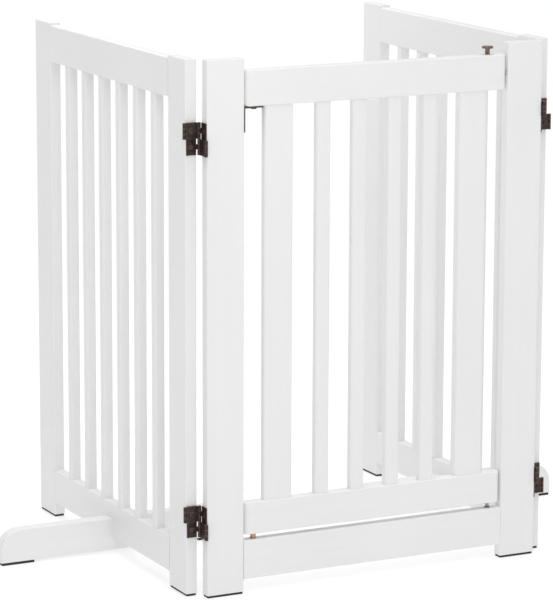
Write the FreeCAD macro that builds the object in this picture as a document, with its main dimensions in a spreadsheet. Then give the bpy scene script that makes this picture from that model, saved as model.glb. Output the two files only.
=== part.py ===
import FreeCAD, Part
import Sketcher
import os
import re
from FreeCAD import Placement, Rotation, Vector

# Free-standing pet gate: a centre panel with a swinging door between two folding side panels.
# The origin is the centre of the footprint on the floor, X runs along the centre panel,
# +Y points to the back, where the side panels stand, and +Z is up. Sizes are in millimetres.

os.makedirs("parts", exist_ok=True)
doc = FreeCAD.newDocument("pet_gate")

# ---------------------------------------------------------------- driving sizes
SIZES = {
    "overall_height": 762,
    "panel_width": 533,
    "stile_width": 57,
    "board_thickness": 17,
    "edge_round": 2,
    "end_round": 1.2,
    "pad_thickness": 3.5,
    "pad_inset": 1.5,
    "tenon_thickness": 8,
    "tenon_height": 34,
    "tenon_length": 20,
    # centre panel and door
    "sill_bottom": 21,
    "sill_height": 56.5,
    "door_gap": 1.75,
    "door_bottom": 85.5,
    "door_bottom_rail": 46.5,
    "door_top_drop": 16.5,
    "door_top_rail": 51,
    "door_end_round": 8.2,
    "slat_width": 44.5,
    "slat_inset": 52.85,
    "bar_width": 22,
    "slat_extra_gap": 13.4,
    "bar_thickness": 12.5,
    "bar_round": 3.4,
    "slat_tenon": 32,
    "bar_tenon": 14,
    "bar_tenon_thickness": 7,
    "bar_tenon_length": 12,
    # side panels
    "side_rail_drop": 3.5,
    "side_top_rail": 55,
    "side_rail_bottom": 22.4,
    "side_bottom_rail": 51.3,
    "spindle_size": 15,
    "spindle_round": 3,
    "spindle_near_margin": 54,
    "spindle_far_margin": 60,
    "spindle_tenon_radius": 4.5,
    "spindle_tenon_length": 12,
    "foot_length": 369,
    "foot_thickness": 20,
    "foot_top": 52,
    "foot_round": 30,
    "foot_pad_length": 50,
    # door pivots and latches
    "pivot_inset": 18.2,
    "pivot_radius": 3,
    "pivot_play": 0.08,
    "bracket_reach": 29.5,
    "bracket_drop": 35,
    "bracket_width": 14,
    "bracket_thickness": 2,
    "bolt_inset": 27.95,
    "bolt_radius": 3.4,
    "bolt_head_radius": 8.2,
    "bolt_head_height": 2.8,
    "bolt_lift": 9,
    "bolt_length": 33,
    "keeper_thickness": 3,
    "keeper_width": 11,
    "keeper_length": 54,
    "drop_pin_radius": 2.5,
    "drop_pin_length": 38,
    "ferrule_radius": 4.3,
    "ferrule_height": 1.4,
    # two-way hinges
    "hinge_gap": 5.5,
    "barrel_radius": 2.4,
    "hinge_pin_radius": 1.3,
    "hinge_half": 22.8,
    "leaf_thickness": 1.3,
    "leaf_inset": 1,
    "link_thickness": 1.2,
    "upper_hinge_drop": 110,
    "lower_hinge_height": 108.5,
    "screw_radius": 1.5,
    "screw_head_radius": 3,
    "screw_length": 15,
}

sheet = doc.addObject("Spreadsheet::Sheet", "sizes")
for row, (alias, value) in enumerate(SIZES.items(), start=1):
    sheet.set("A%d" % row, alias)
    sheet.set("B%d" % row, str(value))
    sheet.setAlias("B%d" % row, alias)
doc.recompute()

# positions that many pieces share, as formulas of the sheet's sizes
CENTRE_Y = "(-(panel_width + hinge_gap / 2 - barrel_radius) / 2)"
NEAR_Y = "(%s + board_thickness / 2 + hinge_gap)" % CENTRE_Y
SIDE_X = "(panel_width / 2 + hinge_gap + board_thickness / 2)"
AXIS_REACH = "(board_thickness / 2 + hinge_gap / 2)"
PIVOT_X = "(-(panel_width / 2 - stile_width - pivot_inset))"
DROP_X = "(panel_width / 2 - stile_width - pivot_inset)"
DOOR_LENGTH = "(panel_width - 2 * stile_width - 2 * door_gap)"
DOOR_TOP = "(overall_height - door_top_drop)"
TOP_RAIL_BOTTOM = "(%s - door_top_rail)" % DOOR_TOP
SLAT_X = "(%s / 2 - slat_inset)" % DOOR_LENGTH
BAR_PITCH = "((2 * %s - 2 * slat_extra_gap) / 5)" % SLAT_X
SILL_TOP = "(sill_bottom + sill_height)"
BOLT_X = "(%s / 2 - bolt_inset)" % DOOR_LENGTH
BOLT_TIP = "(%s + bolt_lift - bolt_length)" % DOOR_TOP
SIDE_RAIL_TOP = "(overall_height - side_rail_drop)"
SPINDLE_PITCH = "((panel_width - 2 * stile_width - spindle_near_margin - spindle_far_margin) / 5)"
BARE_LENGTH = "(panel_width - 2 * stile_width)"
QUARTER_TURN = 1.5707963267948966


def size(alias):
    """Plain value of one driving size."""
    return float(sheet.get(alias))


def formula(text):
    """Expression text with every size word pointed at the sheet."""
    return re.sub(r"[a-z_]{3,}", lambda word: "sizes." + word.group(0), text)


def bind(obj, **sizes_of):
    """Bind properties of an object to formulas of the sheet."""
    for prop, text in sizes_of.items():
        obj.setExpression(prop, formula(text))


def place(obj, x, y, z, turn=0):
    """Turn an object about Z and bind its position."""
    obj.Placement = Placement(Vector(0, 0, 0), Rotation(Vector(0, 0, 1), turn))
    for axis, text in (("x", x), ("y", y), ("z", z)):
        obj.setExpression("Placement.Base." + axis, formula(text))
    return obj


# ---------------------------------------------------------------- sketches and solids
def new_sketch(body, name, plane):
    """Empty sketch on one of the body's own origin planes."""
    sketch = body.newObject("Sketcher::SketchObject", name)
    for feature in body.Origin.OriginFeatures:
        if feature.Role == plane:
            sketch.AttachmentSupport = [(feature, "")]
    sketch.MapMode = "FlatFace"
    return sketch


def draw_rounded(sketch, wide, deep, corner, span=None):
    """Rounded rectangle about the sketch origin; span is the plain width if wide is a formula."""
    half_w, half_d, r = (span or size(wide)) / 2, size(deep) / 2, size(corner)
    up = Vector(0, 0, 1)
    quarter = QUARTER_TURN
    corners = (
        (half_w - r, -half_d + r, 3 * quarter),
        (half_w - r, half_d - r, 0),
        (-half_w + r, half_d - r, quarter),
        (-half_w + r, -half_d + r, 2 * quarter),
    )
    ends = (
        ((-half_w + r, -half_d), (half_w - r, -half_d)),
        ((half_w, -half_d + r), (half_w, half_d - r)),
        ((half_w - r, half_d), (-half_w + r, half_d)),
        ((-half_w, half_d - r), (-half_w, -half_d + r)),
    )
    for (start, stop), (cx, cy, angle) in zip(ends, corners):
        sketch.addGeometry(Part.LineSegment(Vector(*start, 0), Vector(*stop, 0)))
        circle = Part.Circle(Vector(cx, cy, 0), up, r)
        sketch.addGeometry(Part.ArcOfCircle(circle, angle, angle + quarter))
    for line in (0, 2, 4, 6):
        sketch.addConstraint(Sketcher.Constraint("Tangent", line, 2, line + 1, 1))
        sketch.addConstraint(Sketcher.Constraint("Tangent", line + 1, 2, (line + 2) % 8, 1))
    for line in (0, 4):
        sketch.addConstraint(Sketcher.Constraint("Horizontal", line))
    for line in (2, 6):
        sketch.addConstraint(Sketcher.Constraint("Vertical", line))
    for arc in (3, 5, 7):
        sketch.addConstraint(Sketcher.Constraint("Equal", 1, arc))
    sketch.addConstraint(Sketcher.Constraint("Symmetric", 0, 1, 4, 1, -1, 1))
    driving = (
        ("wide", wide, Sketcher.Constraint("DistanceX", 6, 1, 2, 1, 2 * half_w)),
        ("deep", deep, Sketcher.Constraint("DistanceY", 0, 1, 4, 1, 2 * half_d)),
        ("corner", corner, Sketcher.Constraint("Radius", 1, r)),
    )
    for name, alias, constraint in driving:
        index = sketch.addConstraint(constraint)
        sketch.renameConstraint(index, name)
        sketch.setExpression("Constraints." + name, formula(alias))


def draw_circle(sketch, radius):
    """Circle about the sketch origin."""
    sketch.addGeometry(Part.Circle(Vector(0, 0, 0), Vector(0, 0, 1), size(radius)))
    sketch.addConstraint(Sketcher.Constraint("Coincident", 0, 3, -1, 1))
    index = sketch.addConstraint(Sketcher.Constraint("Radius", 0, size(radius)))
    sketch.renameConstraint(index, "radius")
    sketch.setExpression("Constraints.radius", formula(radius))


def pad_both_ways(body, sketch, name, length):
    """Pad a sketch by half of the length to each side."""
    pad = body.newObject("PartDesign::Pad", name)
    pad.Profile = sketch
    pad.Midplane = True
    pad.setExpression("Length", formula(length))
    return pad


def bar(name, plane, wide, deep, corner, length, tenon=None):
    """Straight piece with eased long edges, and a thinner tenon running out of both ends."""
    body = doc.addObject("PartDesign::Body", name)
    body.Label = name
    outline = new_sketch(body, name + "_outline", plane)
    draw_rounded(outline, wide, deep, corner)
    pad_both_ways(body, outline, name + "_pad", length)
    if tenon:
        tongue = new_sketch(body, name + "_tongue", plane)
        if len(tenon) == 3:
            draw_rounded(tongue, tenon[0], tenon[1], "end_round")
        else:
            draw_circle(tongue, tenon[0])
        pad_both_ways(body, tongue, name + "_tenons", "%s + 2 * %s" % (length, tenon[-1]))
    return body


def ease_ends(body, radius, pick):
    """Round the edges of the last feature that the pick function chooses."""
    doc.recompute()
    base = body.Tip
    names = []
    for number, edge in enumerate(base.Shape.Edges, start=1):
        if pick(edge.BoundBox):
            names.append("Edge%d" % number)
    fillet = body.newObject("PartDesign::Fillet", body.Name + "_ease")
    fillet.Base = (base, names)
    fillet.setExpression("Radius", formula(radius))
    return fillet


def block(name, x, y, z, wide, deep, high, turn=0):
    """Box placed by its low corner."""
    box = doc.addObject("Part::Box", name)
    bind(box, Length=wide, Width=deep, Height=high)
    return place(box, x, y, z, turn)


def rod(name, x, y, z, radius, high):
    """Upright cylinder placed by the centre of its lower end."""
    cylinder = doc.addObject("Part::Cylinder", name)
    bind(cylinder, Radius=radius, Height=high)
    return place(cylinder, x, y, z)


def join(name, pieces):
    """One solid out of several that touch or overlap."""
    fuse = doc.addObject("Part::MultiFuse", name)
    fuse.Shapes = pieces
    fuse.Refine = True
    return fuse


def group(name, pieces):
    """Several separate solids under one name."""
    compound = doc.addObject("Part::Compound", name)
    compound.Links = pieces
    return compound


def carve(name, blank, tools):
    """Blank with the mating pieces cut out of it."""
    cut = doc.addObject("Part::Cut", name)
    cut.Base = blank
    cut.Tool = tools[0] if len(tools) == 1 else join(name + "_sockets", tools)
    return cut


nodes = {}


def keep(name, obj):
    """Name a finished sub-part."""
    obj.Label = name
    nodes[name] = obj
    return obj


def stile(name, wide, deep, x, y):
    """Upright post that stands on a floor pad, with its top edges eased."""
    blank = bar(
        name + "_blank", "XY_Plane", wide, deep, "edge_round", "overall_height - pad_thickness")
    top = (size("overall_height") - size("pad_thickness")) / 2
    ease_ends(blank, "end_round", lambda box: box.ZMin > top - 0.01)
    place(blank, x, y, "(overall_height + pad_thickness) / 2")
    return blank


def floor_pad(name, x, y, wide, deep):
    """Thin rubber pad under a post or a foot."""
    return block(
        name, "%s - (%s) / 2" % (x, wide), "%s - (%s) / 2" % (y, deep), "0", wide, deep, "pad_thickness")


# ---------------------------------------------------------------- two-way hinges
# Each hinge has a leaf on either board edge and two link plates, one above the other. A local
# hinge frame lies on a board's edge: x points out of the wood and y runs across the board.
def hinge_leaf(name):
    """Leaf with its upper knuckle on one corner line and its lower knuckle on the other."""
    plate = block(
        name + "_plate", "0", "-(board_thickness / 2 - leaf_inset)", "-hinge_half",
        "leaf_thickness", "board_thickness - 2 * leaf_inset", "2 * hinge_half")
    solids = [plate]
    bores = []
    for half, corner in ((1, -1), (-1, 1)):
        side = "(%d * %s)" % (corner, AXIS_REACH)
        low = "(%d * hinge_half / 2 - hinge_half / 6 + 0.1)" % half
        arm_low = side if corner < 0 else "board_thickness / 2 - 2 * leaf_inset"
        solids.append(block(
            name + "_arm%d" % half, "0", arm_low, low, "leaf_thickness",
            "hinge_gap / 2 + 2 * leaf_inset", "hinge_half / 3 - 0.2"))
        solids.append(rod(
            name + "_knuckle%d" % half, "hinge_gap / 2", side, low,
            "barrel_radius", "hinge_half / 3 - 0.2"))
        bores.append(rod(
            name + "_bore%d" % half, "hinge_gap / 2", side, low + " - 1",
            "hinge_pin_radius + 0.05", "hinge_half / 3 + 2"))
    for half in (-1, 1):
        bores.append(countersunk(name + "_seat%d" % half, "%d * hinge_half / 2" % half))
    return carve(name, join(name + "_body", solids), bores)


def cross_recess(name, screw, face, y, z):
    """Screw with a cross recess sunk in its head; the head faces +x."""
    bits = []
    for arm, wide, high in (("flat", "3.6", "0.7"), ("tall", "0.7", "3.6")):
        bits.append(block(
            "%s_%s" % (name, arm), "%s - 0.8" % face, "%s - %s / 2" % (y, wide),
            "%s - %s / 2" % (z, high), "1.5", wide, high))
    return carve(name, screw, bits)


def countersunk(name, z):
    """Countersunk screw lying along x in the hinge frame, its head flush with the leaf."""
    head = doc.addObject("Part::Cone", name + "_head")
    bind(head, Radius1="screw_head_radius", Radius2="screw_radius", Height="leaf_thickness")
    head.Placement = Placement(Vector(0, 0, 0), Rotation(Vector(0, 1, 0), -90))
    head.setExpression("Placement.Base.x", formula("leaf_thickness"))
    head.setExpression("Placement.Base.z", formula(z))
    shank = doc.addObject("Part::Cylinder", name + "_shank")
    bind(shank, Radius="screw_radius", Height="screw_length")
    shank.Placement = Placement(Vector(0, 0, 0), Rotation(Vector(0, 1, 0), -90))
    shank.setExpression("Placement.Base.x", formula("leaf_thickness / 2"))
    shank.setExpression("Placement.Base.z", formula(z))
    return join(name, [head, shank])


def hinge_link(name, half):
    """Link plate of the upper (1) or lower (-1) half, with two knuckles on each corner line."""
    low = "(%s)" % ("0" if half > 0 else "-hinge_half")
    solids = [block(
        name + "_plate", "hinge_gap / 2 - link_thickness / 2", "-" + AXIS_REACH, low + " + 0.1",
        "link_thickness", "2 * " + AXIS_REACH, "hinge_half - 0.2")]
    cuts = []
    for corner in (-1, 1):
        side = "(%d * %s)" % (corner, AXIS_REACH)
        for third in (0, 2):
            solids.append(rod(
                name + "_knuckle%d%d" % (corner, third), "hinge_gap / 2", side,
                "%s + %d * hinge_half / 3 + 0.1" % (low, third),
                "barrel_radius", "hinge_half / 3 - 0.2"))
        cuts.append(rod(
            name + "_bore%d" % corner, "hinge_gap / 2", side, low, "hinge_pin_radius", "hinge_half"))
        cuts.append(block(
            name + "_relief%d" % corner, "0",
            "%s - barrel_radius - 0.4" % side, "%s + hinge_half / 3 - 0.1" % low,
            "hinge_gap", "2 * barrel_radius + 0.8", "hinge_half / 3 + 0.2"))
    # round opening that gives a screwdriver access to the leaf behind
    hole = doc.addObject("Part::Cylinder", name + "_access")
    bind(hole, Radius="screw_head_radius + 0.3", Height="hinge_gap")
    hole.Placement = Placement(Vector(0, 0, 0), Rotation(Vector(0, 1, 0), 90))
    hole.setExpression("Placement.Base.z", formula("%d * hinge_half / 2" % half))
    return carve(name, join(name + "_body", solids), cuts + [hole])


def hinge_pin(name, half, corner):
    """Pin through the three knuckles of one corner line."""
    low = "0.1" if half > 0 else "-hinge_half + 0.1"
    return rod(
        name, "hinge_gap / 2", "%d * %s" % (corner, AXIS_REACH), low,
        "hinge_pin_radius", "hinge_half - 0.2")


HINGE_HEIGHTS = ("lower_hinge_height", "overall_height - upper_hinge_drop")


def both_hinges(name, make, x, y, turn):
    """The same hinge piece of the lower and the upper hinge, as separate solids of one sub-part."""
    copies = []
    for level, height in zip(("low", "high"), HINGE_HEIGHTS):
        copies.append(place(make(name + "_" + level), x, y, height, turn))
    return keep(name, group(name, copies))


def fit_hinge_edge(name, x, y, turn, link_half):
    """Leaf, link, link pins and screws that sit on one board edge."""
    both_hinges(name + "_leaf", hinge_leaf, x, y, turn)
    both_hinges(name + "_link", lambda n: hinge_link(n, link_half), x, y, turn)
    both_hinges(
        name + "_pins",
        lambda n: group(n, [
            hinge_pin(n + "_inner", link_half, 1), hinge_pin(n + "_outer", link_half, -1)]),
        x, y, turn)
    return both_hinges(
        name + "_screws",
        lambda n: group(n, [
            cross_recess(n + "_recess1", countersunk(n + "_1", "hinge_half / 2"),
                         "leaf_thickness", "0", "hinge_half / 2"),
            cross_recess(n + "_recess2", countersunk(n + "_2", "-hinge_half / 2"),
                         "leaf_thickness", "0", "-hinge_half / 2"),
        ]),
        x, y, turn)


# The left-hand leaf of a hinge and its upper link share one edge, the right-hand leaf and the
# lower link the other. Both edges take the same leaf, because their frames face each other.
left_edge_screws = fit_hinge_edge("left_panel_hinge", "-" + SIDE_X, NEAR_Y, -90, 1)
frame_left_screws = fit_hinge_edge("frame_left_hinge", "-panel_width / 2", CENTRE_Y, 180, -1)
frame_right_screws = fit_hinge_edge("frame_right_hinge", "panel_width / 2", CENTRE_Y, 0, 1)
right_edge_screws = fit_hinge_edge("right_panel_hinge", SIDE_X, NEAR_Y, -90, -1)

# ---------------------------------------------------------------- centre panel
sill = bar(
    "centre_sill", "YZ_Plane", "board_thickness", "sill_height", "edge_round",
    BARE_LENGTH, ("tenon_thickness", "tenon_height", "tenon_length"))
place(sill, "0", CENTRE_Y, "sill_bottom + sill_height / 2")

# lower pivot pin of the door: a flange on the sill, a shoulder under the door and a spigot in it
lower_pivot = keep("lower_pivot_pin", join("lower_pivot_pin", [
    rod("lower_pivot_root", PIVOT_X, CENTRE_Y, SILL_TOP + " - 18", "pivot_radius", "18"),
    rod("lower_pivot_flange", PIVOT_X, CENTRE_Y, SILL_TOP, "pivot_radius + 1.6", "1.4"),
    rod("lower_pivot_shoulder", PIVOT_X, CENTRE_Y, SILL_TOP, "pivot_radius + 1",
        "door_bottom - 0.3 - " + SILL_TOP),
    rod("lower_pivot_spigot", PIVOT_X, CENTRE_Y, SILL_TOP, "pivot_radius",
        "door_bottom + 18 - " + SILL_TOP),
]))

# ferrule let into the sill below the drop pin
ferrule_solid = join("ferrule_solid", [
    rod("ferrule_collar", DROP_X, CENTRE_Y, SILL_TOP, "ferrule_radius", "ferrule_height"),
    rod("ferrule_sleeve", DROP_X, CENTRE_Y, SILL_TOP + " - 14", "drop_pin_radius + 1", "14"),
])
ferrule_bore = rod(
    "ferrule_bore", DROP_X, CENTRE_Y, SILL_TOP + " - 12", "drop_pin_radius + 0.15", "14")
keep("sill_ferrule", carve("sill_ferrule", ferrule_solid, [ferrule_bore]))

keep("centre_sill", carve("centre_sill_bored", sill, [lower_pivot, ferrule_solid]))

# upper pivot: an angle bracket on the left post that carries a riveted pin
bracket_low = "(%s - 0.4 - bracket_thickness)" % TOP_RAIL_BOTTOM
bracket_post = "(-(panel_width / 2 - stile_width))"
bracket_solid = join("bracket_solid", [
    block("bracket_leg", bracket_post, CENTRE_Y + " - bracket_width / 2",
          bracket_low + " + bracket_thickness - bracket_drop",
          "bracket_thickness", "bracket_width", "bracket_drop"),
    block("bracket_shelf", bracket_post, CENTRE_Y + " - bracket_width / 2", bracket_low,
          "bracket_reach", "bracket_width", "bracket_thickness"),
])
upper_pivot = keep("upper_pivot_pin", join("upper_pivot_pin", [
    rod("upper_pivot_rivet", PIVOT_X, CENTRE_Y, bracket_low + " - 2", "pivot_radius + 1", "2"),
    rod("upper_pivot_stem", PIVOT_X, CENTRE_Y, bracket_low + " - 1",
        "pivot_radius", "bracket_thickness + 19"),
]))
bracket_screws = []
recessed_screws = []
for step, name in ((1, "bracket_screw_low"), (2, "bracket_screw_high")):
    height = "%s + bracket_thickness - bracket_drop + %d * bracket_drop / 3.4" % (
        bracket_low, step)
    head = doc.addObject("Part::Cone", name + "_head")
    bind(head, Radius1="screw_radius", Radius2="screw_head_radius", Height="leaf_thickness")
    shank = doc.addObject("Part::Cylinder", name + "_shank")
    bind(shank, Radius="screw_radius", Height="screw_length")
    for piece, start in (
            (head, "bracket_thickness - leaf_thickness"),
            (shank, "bracket_thickness / 2 - screw_length")):
        piece.Placement = Placement(Vector(0, 0, 0), Rotation(Vector(0, 1, 0), 90))
        piece.setExpression("Placement.Base.x", formula("%s + %s" % (bracket_post, start)))
        piece.setExpression("Placement.Base.y", formula(CENTRE_Y))
        piece.setExpression("Placement.Base.z", formula(height))
    bracket_screws.append(join(name, [head, shank]))
    recessed_screws.append(cross_recess(
        name + "_recess", bracket_screws[-1], "%s + bracket_thickness" % bracket_post, CENTRE_Y, height))
bracket_screw_group = keep("pivot_bracket_screws", group("pivot_bracket_screws", recessed_screws))
keep("pivot_bracket", carve("pivot_bracket", bracket_solid, [upper_pivot] + bracket_screws))

# keeper strip let into the right post: the latch bolt drops through its hole
keeper_low = "(%s - 1 - keeper_thickness)" % BOLT_TIP
keeper_blank = block(
    "keeper_blank", BOLT_X + " - 9", CENTRE_Y + " - keeper_width / 2", keeper_low,
    "keeper_length", "keeper_width", "keeper_thickness")
keeper_hole = rod(
    "keeper_hole", BOLT_X, CENTRE_Y, keeper_low + " - 1", "bolt_radius + 0.25", "keeper_thickness + 2")
keep("latch_keeper", carve("latch_keeper", keeper_blank, [keeper_hole]))

left_post = stile(
    "centre_left_post", "stile_width", "board_thickness", "-(panel_width - stile_width) / 2", CENTRE_Y)
keep("centre_left_post", carve(
    "centre_left_post", left_post, [sill, frame_left_screws, bracket_screw_group]))
right_post = stile(
    "centre_right_post", "stile_width", "board_thickness", "(panel_width - stile_width) / 2", CENTRE_Y)
keep("centre_right_post", carve(
    "centre_right_post", right_post, [sill, frame_right_screws, keeper_blank]))

post_pad = ("stile_width - 2 * pad_inset", "board_thickness - 2 * pad_inset")
keep("centre_floor_pads", group("centre_floor_pads", [
    floor_pad("centre_pad_left", "-(panel_width - stile_width) / 2", CENTRE_Y, *post_pad),
    floor_pad("centre_pad_right", "(panel_width - stile_width) / 2", CENTRE_Y, *post_pad),
]))

# ---------------------------------------------------------------- door
# the slats and bars fill the clear height between the two rails
DOOR_CLEAR = "(%s - door_bottom - door_bottom_rail)" % TOP_RAIL_BOTTOM
DOOR_MIDDLE = "(%s + door_bottom + door_bottom_rail) / 2" % TOP_RAIL_BOTTOM
slats = []
for name, sign in (("door_left_slat", -1), ("door_right_slat", 1)):
    slat = bar(
        name, "XY_Plane", "slat_width", "bar_thickness", "bar_round",
        DOOR_CLEAR,
        ("slat_tenon", "bar_tenon_thickness", "bar_tenon_length"))
    place(slat, "%d * %s" % (sign, SLAT_X), CENTRE_Y, DOOR_MIDDLE)
    slats.append(keep(name, slat))
for number, steps in enumerate((-1.5, -0.5, 0.5, 1.5), start=1):
    name = "door_bar_%d" % number
    upright = bar(
        name, "XY_Plane", "bar_width", "bar_thickness", "bar_round",
        DOOR_CLEAR,
        ("bar_tenon", "bar_tenon_thickness", "bar_tenon_length"))
    place(upright, "%s * %s" % (steps, BAR_PITCH), CENTRE_Y, DOOR_MIDDLE)
    slats.append(keep(name, upright))


def door_rail(name, bottom, height, sockets):
    """Door rail with rounded ends that clear the posts as the door turns."""
    body = doc.addObject("PartDesign::Body", name + "_blank")
    outline = new_sketch(body, name + "_outline", "XY_Plane")
    span = size("panel_width") - 2 * size("stile_width") - 2 * size("door_gap")
    draw_rounded(outline, DOOR_LENGTH, "board_thickness", "door_end_round", span)
    pad_both_ways(body, outline, name + "_pad", height)
    half = size(height) / 2
    ease_ends(body, "edge_round", lambda box: box.ZMin > half - 0.01 or box.ZMax < 0.01 - half)
    place(body, "0", CENTRE_Y, "%s + %s / 2" % (bottom, height))
    return keep(name, carve(name, body, sockets))


door_rail("door_bottom_rail", "door_bottom", "door_bottom_rail", slats + [
    rod("lower_pivot_hole", PIVOT_X, CENTRE_Y, "door_bottom - 1", "pivot_radius + pivot_play", "20"),
    rod("drop_pin_hole", DROP_X, CENTRE_Y, "door_bottom - 1",
        "drop_pin_radius + 0.08", "drop_pin_length - 3"),
])
door_rail("door_top_rail", TOP_RAIL_BOTTOM, "door_top_rail", slats + [
    rod("upper_pivot_hole", PIVOT_X, CENTRE_Y, TOP_RAIL_BOTTOM + " - 1",
        "pivot_radius + pivot_play", "21"),
    rod("bolt_hole", BOLT_X, CENTRE_Y, BOLT_TIP + " - bolt_lift - 1",
        "bolt_radius + 0.08", "bolt_length + 10"),
    block("keeper_slot", BOLT_X + " - 11", CENTRE_Y + " - keeper_width / 2 - 1", keeper_low + " - 1",
          "60", "board_thickness", "keeper_thickness + 1.8"),
])

# latch bolt: a mushroom head on a plain stem, drawn up in its hole
bolt_head = doc.addObject("Part::Cylinder", "bolt_head_blank")
bind(bolt_head, Radius="bolt_head_radius", Height="bolt_head_height")
place(bolt_head, BOLT_X, CENTRE_Y, DOOR_TOP + " + bolt_lift")
doc.recompute()
bolt_cap = doc.addObject("Part::Fillet", "bolt_head")
bolt_cap.Base = bolt_head
bolt_cap.Edges = [(1, 1.0, 1.0), (3, 0.5, 0.5)]
bolt_stem = rod("bolt_stem", BOLT_X, CENTRE_Y, BOLT_TIP, "bolt_radius", "bolt_length + 1")
keep("latch_bolt", join("latch_bolt", [bolt_cap, bolt_stem]))

# drop pin in the bottom rail, its tip just above the ferrule
keep("drop_pin", rod(
    "drop_pin", DROP_X, CENTRE_Y, SILL_TOP + " + ferrule_height + 0.4",
    "drop_pin_radius", "drop_pin_length"))

# ---------------------------------------------------------------- side panels
for side, sign, edge_screws in (("left", -1, left_edge_screws), ("right", 1, right_edge_screws)):
    middle = "(%d * %s)" % (sign, SIDE_X)
    halfway = "(%s + panel_width / 2)" % NEAR_Y
    rails = {}
    for level, low, high in (
            ("bottom", "side_rail_bottom", "side_bottom_rail"),
            ("top", "(%s - side_top_rail)" % SIDE_RAIL_TOP, "side_top_rail")):
        name = "%s_%s_rail" % (side, level)
        rail = bar(
            name + "_blank", "XZ_Plane", "board_thickness", high, "edge_round",
            BARE_LENGTH, ("tenon_thickness", "tenon_height", "tenon_length"))
        rails[level] = place(rail, middle, halfway, "%s + %s / 2" % (low, high))
    clear = "(%s - side_top_rail - side_rail_bottom - side_bottom_rail)" % SIDE_RAIL_TOP
    spindles = []
    for number in range(6):
        name = "%s_spindle_%d" % (side, number + 1)
        spindle = bar(
            name, "XY_Plane", "spindle_size", "spindle_size", "spindle_round", clear,
            ("spindle_tenon_radius", "spindle_tenon_length"))
        along = "%s + stile_width + spindle_near_margin + %d * %s" % (NEAR_Y, number, SPINDLE_PITCH)
        place(spindle, middle, along, "side_rail_bottom + side_bottom_rail + %s / 2" % clear)
        spindles.append(keep(name, spindle))
    for level, rail in rails.items():
        name = "%s_%s_rail" % (side, level)
        keep(name, carve(name, rail, spindles))

    near_y = NEAR_Y + " + stile_width / 2"
    far_y = NEAR_Y + " + panel_width - stile_width / 2"
    for end, y, fixings in (("near", near_y, [edge_screws]), ("far", far_y, [])):
        name = "%s_%s_post" % (side, end)
        post = stile(name, "board_thickness", "stile_width", middle, y)
        keep(name, carve(name, post, [rails["bottom"], rails["top"]] + fixings))

    # support foot: a board on edge, notched so that the bottom rail drops into it
    foot = doc.addObject("PartDesign::Body", side + "_foot_blank")
    outline = new_sketch(foot, side + "_foot_outline", "XZ_Plane")
    half = size("foot_length") / 2
    tall = size("foot_top") - size("pad_thickness")
    bend = size("foot_round")
    quarter = QUARTER_TURN
    outline.addGeometry(Part.LineSegment(Vector(-half, 0, 0), Vector(half, 0, 0)))
    outline.addGeometry(Part.LineSegment(Vector(half, 0, 0), Vector(half, tall - bend, 0)))
    outline.addGeometry(Part.ArcOfCircle(
        Part.Circle(Vector(half - bend, tall - bend, 0), Vector(0, 0, 1), bend), 0, quarter))
    outline.addGeometry(Part.LineSegment(Vector(half - bend, tall, 0), Vector(-half + bend, tall, 0)))
    outline.addGeometry(Part.ArcOfCircle(
        Part.Circle(Vector(-half + bend, tall - bend, 0), Vector(0, 0, 1), bend), quarter, 2 * quarter))
    outline.addGeometry(Part.LineSegment(Vector(-half, tall - bend, 0), Vector(-half, 0, 0)))
    rules = (
        ("Coincident", 0, 2, 1, 1), ("Tangent", 1, 2, 2, 1), ("Tangent", 2, 2, 3, 1),
        ("Tangent", 3, 2, 4, 1), ("Tangent", 4, 2, 5, 1), ("Coincident", 5, 2, 0, 1),
        ("Horizontal", 0), ("Vertical", 1), ("Vertical", 5), ("Equal", 2, 4),
        ("Symmetric", 0, 1, 0, 2, -1, 1),
    )
    for rule in rules:
        outline.addConstraint(Sketcher.Constraint(*rule))
    for name, text, constraint in (
            ("long", "foot_length", Sketcher.Constraint("DistanceX", 0, 1, 0, 2, 2 * half)),
            ("tall", "foot_top - pad_thickness", Sketcher.Constraint("DistanceY", 0, 2, 3, 1, tall)),
            ("bend", "foot_round", Sketcher.Constraint("Radius", 2, bend))):
        index = outline.addConstraint(constraint)
        outline.renameConstraint(index, name)
        outline.setExpression("Constraints." + name, formula(text))
    pad_both_ways(foot, outline, side + "_foot_pad", "foot_thickness")
    side_face = size("foot_thickness") / 2
    ease_ends(
        foot, "edge_round", lambda box: box.YMin > side_face - 0.01 or box.YMax < 0.01 - side_face)
    place(foot, middle, halfway, "pad_thickness")
    notch = block(
        side + "_foot_notch", middle + " - board_thickness / 2", halfway + " - foot_thickness",
        "side_rail_bottom", "board_thickness", "2 * foot_thickness", "foot_top")
    keep(side + "_foot", carve(side + "_foot", foot, [notch]))

    reach = "(foot_length / 2 - foot_pad_length / 2 - pad_inset)"
    foot_pad = ("foot_pad_length", "foot_thickness - 2 * pad_inset")
    keep(side + "_floor_pads", group(side + "_floor_pads", [
        floor_pad(side + "_pad_near", middle, near_y, post_pad[1], post_pad[0]),
        floor_pad(side + "_pad_far", middle, far_y, post_pad[1], post_pad[0]),
        floor_pad(side + "_foot_pad_out", "%s - %s" % (middle, reach), halfway, *foot_pad),
        floor_pad(side + "_foot_pad_in", "%s + %s" % (middle, reach), halfway, *foot_pad),
    ]))

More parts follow.
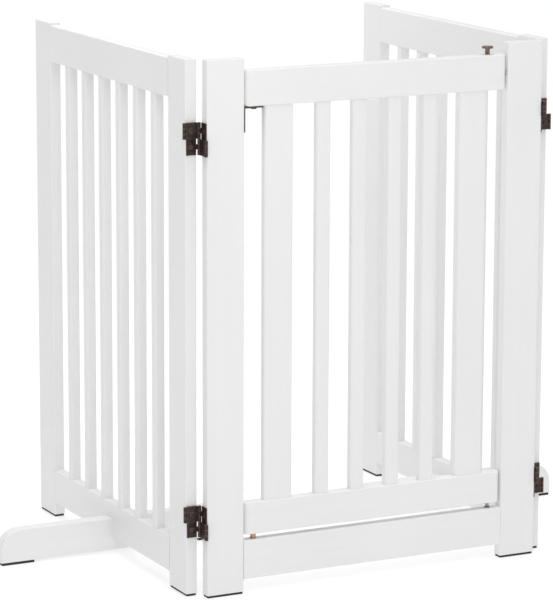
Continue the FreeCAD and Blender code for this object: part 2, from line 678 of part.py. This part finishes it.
# ---------------------------------------------------------------- checks and export
doc.recompute()
for item in doc.Objects:
    for state in item.State:
        if state in ("Invalid", "Error"):
            raise RuntimeError("%s is %s" % (item.Name, state))
for name, item in nodes.items():
    if item.Shape.isNull() or not item.Shape.isValid() or not item.Shape.Solids:
        raise RuntimeError("%s has no valid solid" % name)
for name, item in nodes.items():
    item.Shape.exportStep("parts/%s.step" % name)
    box = item.Shape.BoundBox
    print("%-24s solids %2d volume %10.1f  x %8.2f %8.2f  y %8.2f %8.2f  z %8.2f %8.2f" % (
        name, len(item.Shape.Solids), item.Shape.Volume,
        box.XMin, box.XMax, box.YMin, box.YMax, box.ZMin, box.ZMax))
print(len(nodes), "sub-parts")
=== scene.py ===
# %% [markdown]
# # A folding pet gate in white paint
# The gate is three white wooden panels on dark two-way hinges, with a small barred door in the
# middle one. Every board, bar and hinge leaf is already modelled to size, so this lesson loads
# those solids as they are and gives each one the finish a maker would give it.

import math

import bpy
from mathutils import Matrix, Vector

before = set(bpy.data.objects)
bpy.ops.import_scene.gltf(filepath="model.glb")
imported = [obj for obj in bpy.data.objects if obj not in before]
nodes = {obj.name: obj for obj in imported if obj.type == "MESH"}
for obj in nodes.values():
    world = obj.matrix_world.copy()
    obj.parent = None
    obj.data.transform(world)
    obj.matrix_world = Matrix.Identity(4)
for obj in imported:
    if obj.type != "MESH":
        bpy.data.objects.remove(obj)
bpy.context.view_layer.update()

# %% [markdown]
# ## A small kit for finishes
# A finish is a node graph. Writing every node out by hand gets long, so a few short helpers add
# and wire nodes: one for any node, one for a noise pattern, and ones for a colour ramp, a remap and
# a bump. The noise reads Object coordinates, so it sticks to the wood when a panel folds.
#
# Worn edges, and the painted highlight on the rims and barrels of the bronze, are found with a
# Bevel node.
# Where its rounded normal leaves the true one there is an edge, and this works on any mesh, even
# one of loose triangles.


# %% Node helpers
def new_finish(name):
    """Empty material with its shader and output; returns the material, its tree and the shader."""
    finish = bpy.data.materials.new(name)
    finish.use_nodes = True
    tree = finish.node_tree
    return finish, tree, tree.nodes["Principled BSDF"]


def add(tree, kind, wires=(), **settings):
    """One node with its settings; wires are (input name or number, value or socket)."""
    node = tree.nodes.new(kind)
    for key, value in settings.items():
        setattr(node, key, value)
    for key, value in wires:
        if isinstance(value, bpy.types.NodeSocket):
            tree.links.new(value, node.inputs[key])
        else:
            node.inputs[key].default_value = value
    return node


def noise(tree, stretch, scale, detail=3.0, rough=0.5):
    """Noise in Object coordinates, stretched along an axis by a Mapping node."""
    where = add(tree, "ShaderNodeTexCoord")
    mapping = add(
        tree, "ShaderNodeMapping",
        [("Vector", where.outputs["Object"]), ("Scale", stretch)])
    field = add(
        tree, "ShaderNodeTexNoise",
        [("Vector", mapping.outputs[0]), ("Scale", scale), ("Detail", detail),
         ("Roughness", rough)])
    return field.outputs["Fac"]


def ramp(tree, fac, stops):
    """Colour ramp; stops are (position, colour), a colour being grey or (r, g, b)."""
    node = add(tree, "ShaderNodeValToRGB", [("Fac", fac)])
    bands = node.color_ramp.elements
    while len(bands) < len(stops):
        bands.new(0.5)
    for band, (position, colour) in zip(bands, stops):
        band.position = position
        shade = colour if isinstance(colour, tuple) else (colour,) * 3
        band.color = (*shade, 1.0)
    return node.outputs["Color"]


def remap(tree, fac, low, high):
    """Stretch the middle of a noise to a range of values."""
    node = add(
        tree, "ShaderNodeMapRange",
        [("Value", fac), ("From Min", 0.3), ("From Max", 0.7), ("To Min", low), ("To Max", high)])
    return node.outputs[0]


def edge_mask(tree, radius, samples, start, full, top=1.0):
    """Rises to top where a normal rounded over the radius leaves the true normal."""
    rounded = add(tree, "ShaderNodeBevel", [("Radius", radius)], samples=samples)
    true = add(tree, "ShaderNodeNewGeometry")
    dot = add(
        tree, "ShaderNodeVectorMath",
        [(0, rounded.outputs[0]), (1, true.outputs["Normal"])], operation="DOT_PRODUCT")
    mask = add(
        tree, "ShaderNodeMapRange",
        [("Value", dot.outputs["Value"]), ("From Min", start), ("From Max", full),
         ("To Max", top)])
    return mask.outputs[0]


def mix(tree, fac, colour_a, colour_b, blend="MIX"):
    """Blend two colours."""
    node = add(
        tree, "ShaderNodeMix", [("Factor", fac), ("A", colour_a), ("B", colour_b)],
        data_type="RGBA", blend_type=blend)
    return node.outputs["Result"]


def bump(tree, field, strength, distance, under=None):
    """Relief from a pattern, on top of another relief if one is given."""
    wires = [("Height", field), ("Strength", strength), ("Distance", distance)]
    if under is not None:
        wires.append(("Normal", under))
    return add(tree, "ShaderNodeBump", wires).outputs[0]


print("helpers ready")

# %% [markdown]
# ## White satin paint
# Sprayed satin paint on wood is never one flat white. The grain of the board telegraphs through
# as faint long ripples, the paint has a fine orange-peel texture of about a millimetre, it is a
# touch warmer and duller where hands rub it, and it thins a little on the eased edges. The grain
# runs along each board, so there are three versions of the paint, one for each way a board lies.

# %% Paint
ALONG_X, ALONG_Y, ALONG_Z = 0, 1, 2
GRAIN_STRETCH = 0.045  # the figure of the wood is about twenty times longer than wide


def paint(name, grain):
    """Satin white paint over a board whose grain runs along the given axis."""
    finish, tree, shader = new_finish(name)
    stretch = [1.0, 1.0, 1.0]
    stretch[grain] = GRAIN_STRETCH
    figure = noise(tree, stretch, 95.0, 4.0, 0.55)
    peel = noise(tree, (1, 1, 1), 900.0, 2.0, 0.5)
    clouds = noise(tree, (1, 1, 0.6), 7.0, 2.0, 0.5)
    specks = noise(tree, (1, 1, 1), 420.0, 1.0, 0.4)

    # colour: a clean white, a little warmer in broad patches and along the grain
    base = ramp(tree, clouds, [(0.30, (0.816, 0.817, 0.820)), (0.70, (0.834, 0.834, 0.832))])
    streaks = ramp(tree, figure, [(0.34, 0.988), (0.62, 1.0)])
    tinted = mix(tree, 1.0, base, streaks, "MULTIPLY")

    # worn edges, faint and only in scattered places
    edge = edge_mask(tree, 0.0016, 4, 0.985, 0.90)
    patch = add(
        tree, "ShaderNodeMapRange",
        [("Value", specks), ("From Min", 0.52), ("From Max", 0.66)])
    rub = add(tree, "ShaderNodeMath", [(0, edge), (1, patch.outputs[0])], operation="MULTIPLY")
    faint = add(tree, "ShaderNodeMath", [(0, rub.outputs[0]), (1, 0.35)], operation="MULTIPLY")
    worn = mix(tree, faint.outputs[0], tinted, (0.70, 0.67, 0.61, 1.0))
    tree.links.new(worn, shader.inputs["Base Color"])

    # gloss: satin, duller along the grain ridges
    tree.links.new(remap(tree, figure, 0.40, 0.50), shader.inputs["Roughness"])
    shader.inputs["IOR"].default_value = 1.47
    shader.inputs["Coat Weight"].default_value = 0.12
    shader.inputs["Coat Roughness"].default_value = 0.28

    # relief: grain ripples under an orange-peel texture
    ripples = bump(tree, figure, 0.10, 0.0008)
    tree.links.new(bump(tree, peel, 0.08, 0.0003, ripples), shader.inputs["Normal"])
    return finish


paint_upright = paint("white paint upright grain", ALONG_Z)
paint_across = paint("white paint grain across", ALONG_X)
paint_back = paint("white paint grain front to back", ALONG_Y)
print("three paints, one for each way a board can run")

# %% [markdown]
# ## Bronze steel
# The hinges and the bracket are steel with an antique bronze finish: nearly black brown in the
# flats, and a lighter, redder brown on the rims and barrels. That brown is partly real rubbed wear
# and partly a painted highlight standing in for the shine of the rounded barrels. It is a lacquered
# metal, so the gloss is broken and uneven. The two colours are mixed by noise and by the same edge
# test as the paint, which catches the rims of the leaves, the barrels and the screw holes.


# %% Bronze
def bronze(name):
    """Antique bronze finish on stamped steel."""
    finish, tree, shader = new_finish(name)
    mottle = noise(tree, (1, 1, 1), 260.0, 4.0, 0.6)
    drawn = noise(tree, (1, 1, 0.08), 1400.0, 2.0, 0.5)
    dark = ramp(tree, mottle, [(0.32, (0.030, 0.020, 0.0185)), (0.70, (0.078, 0.052, 0.047))])
    # lighter brown on rims and barrels: partly rubbed wear, partly a painted highlight for the
    # barrels' shine
    edge = edge_mask(tree, 0.0014, 6, 0.995, 0.90, 0.7)
    colour = mix(tree, edge, dark, (0.25, 0.175, 0.15, 1.0))
    tree.links.new(colour, shader.inputs["Base Color"])
    shader.inputs["Metallic"].default_value = 0.65
    tree.links.new(remap(tree, mottle, 0.34, 0.52), shader.inputs["Roughness"])
    tree.links.new(bump(tree, drawn, 0.15, 0.0002), shader.inputs["Normal"])
    return finish


bronze_steel = bronze("antique bronze steel")
print("bronze ready")

# %% [markdown]
# ## Copper pin
# The door turns on a copper-coloured pin in the sill, of warm, slightly tarnished metal. Turned
# metal shows fine rings round its axis, so its scratches are squeezed along Z.


# %% Copper
def copper(name):
    """Turned pin with a warm, slightly tarnished surface."""
    finish, tree, shader = new_finish(name)
    tarnish = noise(tree, (1, 1, 1), 330.0, 3.0, 0.55)
    rings = noise(tree, (0.05, 0.05, 1), 2600.0, 2.0, 0.5)
    colour = ramp(tree, tarnish, [(0.32, (0.40, 0.25, 0.17)), (0.68, (0.60, 0.42, 0.31))])
    tree.links.new(colour, shader.inputs["Base Color"])
    shader.inputs["Metallic"].default_value = 0.9
    tree.links.new(remap(tree, tarnish, 0.30, 0.46), shader.inputs["Roughness"])
    tree.links.new(bump(tree, rings, 0.2, 0.0001), shader.inputs["Normal"])
    return finish


copper_pin = copper("copper pin")
print("copper ready")

# %% [markdown]
# ## Rubber pads and plated fittings
# The floor pads are thin black rubber, matt and a little grainy. The latch bolt is a browner,
# lighter bronze than the hinges, the drop pin is dull bare steel, and the keeper is zinc-plated.
# All of them are two close colours in patches under a fine skin, so one function makes them.


# %% Small fittings
def moulded(name, colour_a, colour_b, metal, gloss_low, gloss_high):
    """Small fitting: two close colours in patches, with a fine surface texture."""
    finish, tree, shader = new_finish(name)
    patches = noise(tree, (1, 1, 1), 210.0, 3.0, 0.5)
    pores = noise(tree, (1, 1, 1), 2400.0, 2.0, 0.5)
    tree.links.new(
        ramp(tree, patches, [(0.35, colour_a), (0.65, colour_b)]), shader.inputs["Base Color"])
    shader.inputs["Metallic"].default_value = metal
    tree.links.new(remap(tree, patches, gloss_low, gloss_high), shader.inputs["Roughness"])
    tree.links.new(bump(tree, pores, 0.1, 0.0002), shader.inputs["Normal"])
    return finish


dull_steel = moulded("dull steel", (0.27, 0.235, 0.21), (0.40, 0.36, 0.33), 0.8, 0.32, 0.46)
light_bronze = moulded("light bronze", (0.13, 0.088, 0.072), (0.26, 0.185, 0.15), 0.75, 0.26, 0.40)
zinc = moulded("zinc plate", (0.42, 0.43, 0.44), (0.55, 0.56, 0.57), 0.95, 0.28, 0.42)
rubber = moulded("black rubber", (0.012, 0.012, 0.012), (0.022, 0.021, 0.020), 0.0, 0.62, 0.80)
print("fittings ready")

# %% [markdown]
# ## Dress every piece
# A table says which finish goes on which piece. The first word that matches a piece's name wins,
# so the special cases stand above the general ones. Level boards of the middle panel run along X,
# level boards of the side panels run along Y, and everything else that is painted stands upright.

# %% Finishes by name
FINISHES = (
    ("hinge_", bronze_steel),
    ("pivot_bracket", bronze_steel),
    ("lower_pivot_pin", copper_pin),
    ("upper_pivot_pin", light_bronze),
    ("drop_pin", dull_steel),
    ("ferrule", dull_steel),
    ("keeper", zinc),
    ("latch_bolt", light_bronze),
    ("_pads", rubber),
    ("_foot", paint_across),
    ("centre_sill", paint_across),
    ("door_top_rail", paint_across),
    ("door_bottom_rail", paint_across),
    ("_rail", paint_back),
    ("", paint_upright),
)
for name, piece in nodes.items():
    finish = next(finish for word, finish in FINISHES if word in name)
    piece.data.materials.clear()
    piece.data.materials.append(finish)
print("dressed", len(nodes), "pieces")

# %% [markdown]
# ## Floor
# The floor is pale and glows a little, like a lit table, which keeps the shadows on it faint. It
# lies a hair below the pads, so that the two surfaces never lie in the same plane.

# %% Floor
FLOOR_SIZE, FLOOR_DROP = 60.0, 0.0004
bpy.ops.object.select_all(action="DESELECT")
bpy.ops.mesh.primitive_plane_add(size=FLOOR_SIZE, location=(0, 0, -FLOOR_DROP))
floor = bpy.context.object
floor.name = "studio_floor"
floor_finish, floor_tree, floor_shader = new_finish("pale floor")
floor_tone = noise(floor_tree, (1, 1, 1), 3.0, 2.0, 0.5)
floor_tree.links.new(
    ramp(floor_tree, floor_tone, [(0.3, 0.50), (0.7, 0.515)]),
    floor_shader.inputs["Base Color"])
floor_shader.inputs["Roughness"].default_value = 0.9
floor_shader.inputs["Emission Color"].default_value = (1.0, 1.0, 1.0, 1.0)
floor_shader.inputs["Emission Strength"].default_value = 0.52
floor.data.materials.append(floor_finish)
print("floor laid")

# %% [markdown]
# ## Lights
# An even sky fills the shadows. Near the horizon it has a white band, as a studio wall would be. A
# very wide light from almost overhead whitens the tops of the boards. One softbox hangs close above
# the front, so the gate is a little brighter at the top than near the floor. A second softbox over
# the back lights the inside of the gate.

# %% Lights
SKY_COLOUR = (0.985, 0.99, 1.0, 1.0)
SKY_STRENGTH, WALL_STRENGTH = 0.44, 1.03
WALL_TOP, WALL_FADE = 0.05, 0.10  # height of the white band, as the sine of its angle

scene = bpy.context.scene
scene.view_settings.view_transform = "Standard"
world = bpy.data.worlds.new("studio")
scene.world = world
world.use_nodes = True
world_tree = world.node_tree
sky = world_tree.nodes["Background"]
sky.inputs["Color"].default_value = SKY_COLOUR
direction = add(world_tree, "ShaderNodeTexCoord")
height = add(world_tree, "ShaderNodeSeparateXYZ", [(0, direction.outputs["Generated"])])
wall = add(
    world_tree, "ShaderNodeMapRange",
    [("Value", height.outputs["Z"]), ("From Min", WALL_TOP), ("From Max", WALL_FADE),
     ("To Min", WALL_STRENGTH), ("To Max", SKY_STRENGTH)])
world_tree.links.new(wall.outputs[0], sky.inputs["Strength"])


def soft_sun(name, turn, rise, strength, spread):
    """Sun as wide as a big softbox; turn goes round the gate from its front, rise is its height."""
    data = bpy.data.lights.new(name, "SUN")
    data.energy = strength
    data.angle = math.radians(spread)
    data.color = (1.0, 0.995, 0.99)
    lamp = bpy.data.objects.new(name, data)
    scene.collection.objects.link(lamp)
    side, up = math.radians(turn), math.radians(rise)
    towards = Vector((math.sin(side) * math.cos(up), -math.cos(side) * math.cos(up), math.sin(up)))
    lamp.rotation_euler = towards.to_track_quat("Z", "Y").to_euler()


def softbox(name, place, aim, width, watts):
    """Square lamp near the gate, turned towards a point and left out of the picture."""
    data = bpy.data.lights.new(name, "AREA")
    data.shape = "SQUARE"
    data.size = width
    data.energy = watts
    lamp = bpy.data.objects.new(name, data)
    scene.collection.objects.link(lamp)
    lamp.location = place
    lamp.rotation_euler = (Vector(aim) - Vector(place)).to_track_quat("-Z", "Y").to_euler()
    lamp.visible_camera = False


soft_sun("wide overhead light", 12, 80, 1.66, 70)
softbox("softbox above the front", (-0.62, -1.28, 1.50), (-0.15, -0.2, 0.55), 0.9, 4.3)
softbox("softbox over the back", (-0.15, 0.95, 1.50), (0.28, 0.0, 0.50), 0.8, 5.5)
print("sky, an overhead light and two softboxes")

# %% [markdown]
# ## Camera
# The gate is seen from the front left and from a little above, with a long lens from five metres,
# which keeps the posts nearly parallel. The camera is placed by its turn round the gate, its
# height angle and its distance from the point it aims at.

# %% Camera
AIM = Vector((-0.02955, -0.01668, 0.36120))
TURN, RISE, ROLL = -26.675, 11.470, 0.19  # degrees
AWAY, LENS = 4.8670, 196.42  # metres and millimetres

turn, rise = math.radians(TURN), math.radians(RISE)
back = Vector((math.sin(turn) * math.cos(rise), -math.cos(turn) * math.cos(rise), math.sin(rise)))
camera_data = bpy.data.cameras.new("view")
camera_data.lens = LENS
camera_data.sensor_width = 36.0
camera_data.clip_start = 0.1
camera_data.clip_end = 100.0
camera = bpy.data.objects.new("view", camera_data)
scene.collection.objects.link(camera)
camera.rotation_mode = "QUATERNION"
camera.location = AIM + back * AWAY
level = (-back).to_track_quat("-Z", "Y").to_matrix()
camera.rotation_quaternion = (level @ Matrix.Rotation(math.radians(ROLL), 3, "Z")).to_quaternion()
bpy.context.scene.camera = camera
print("camera at", [round(v, 3) for v in camera.location])
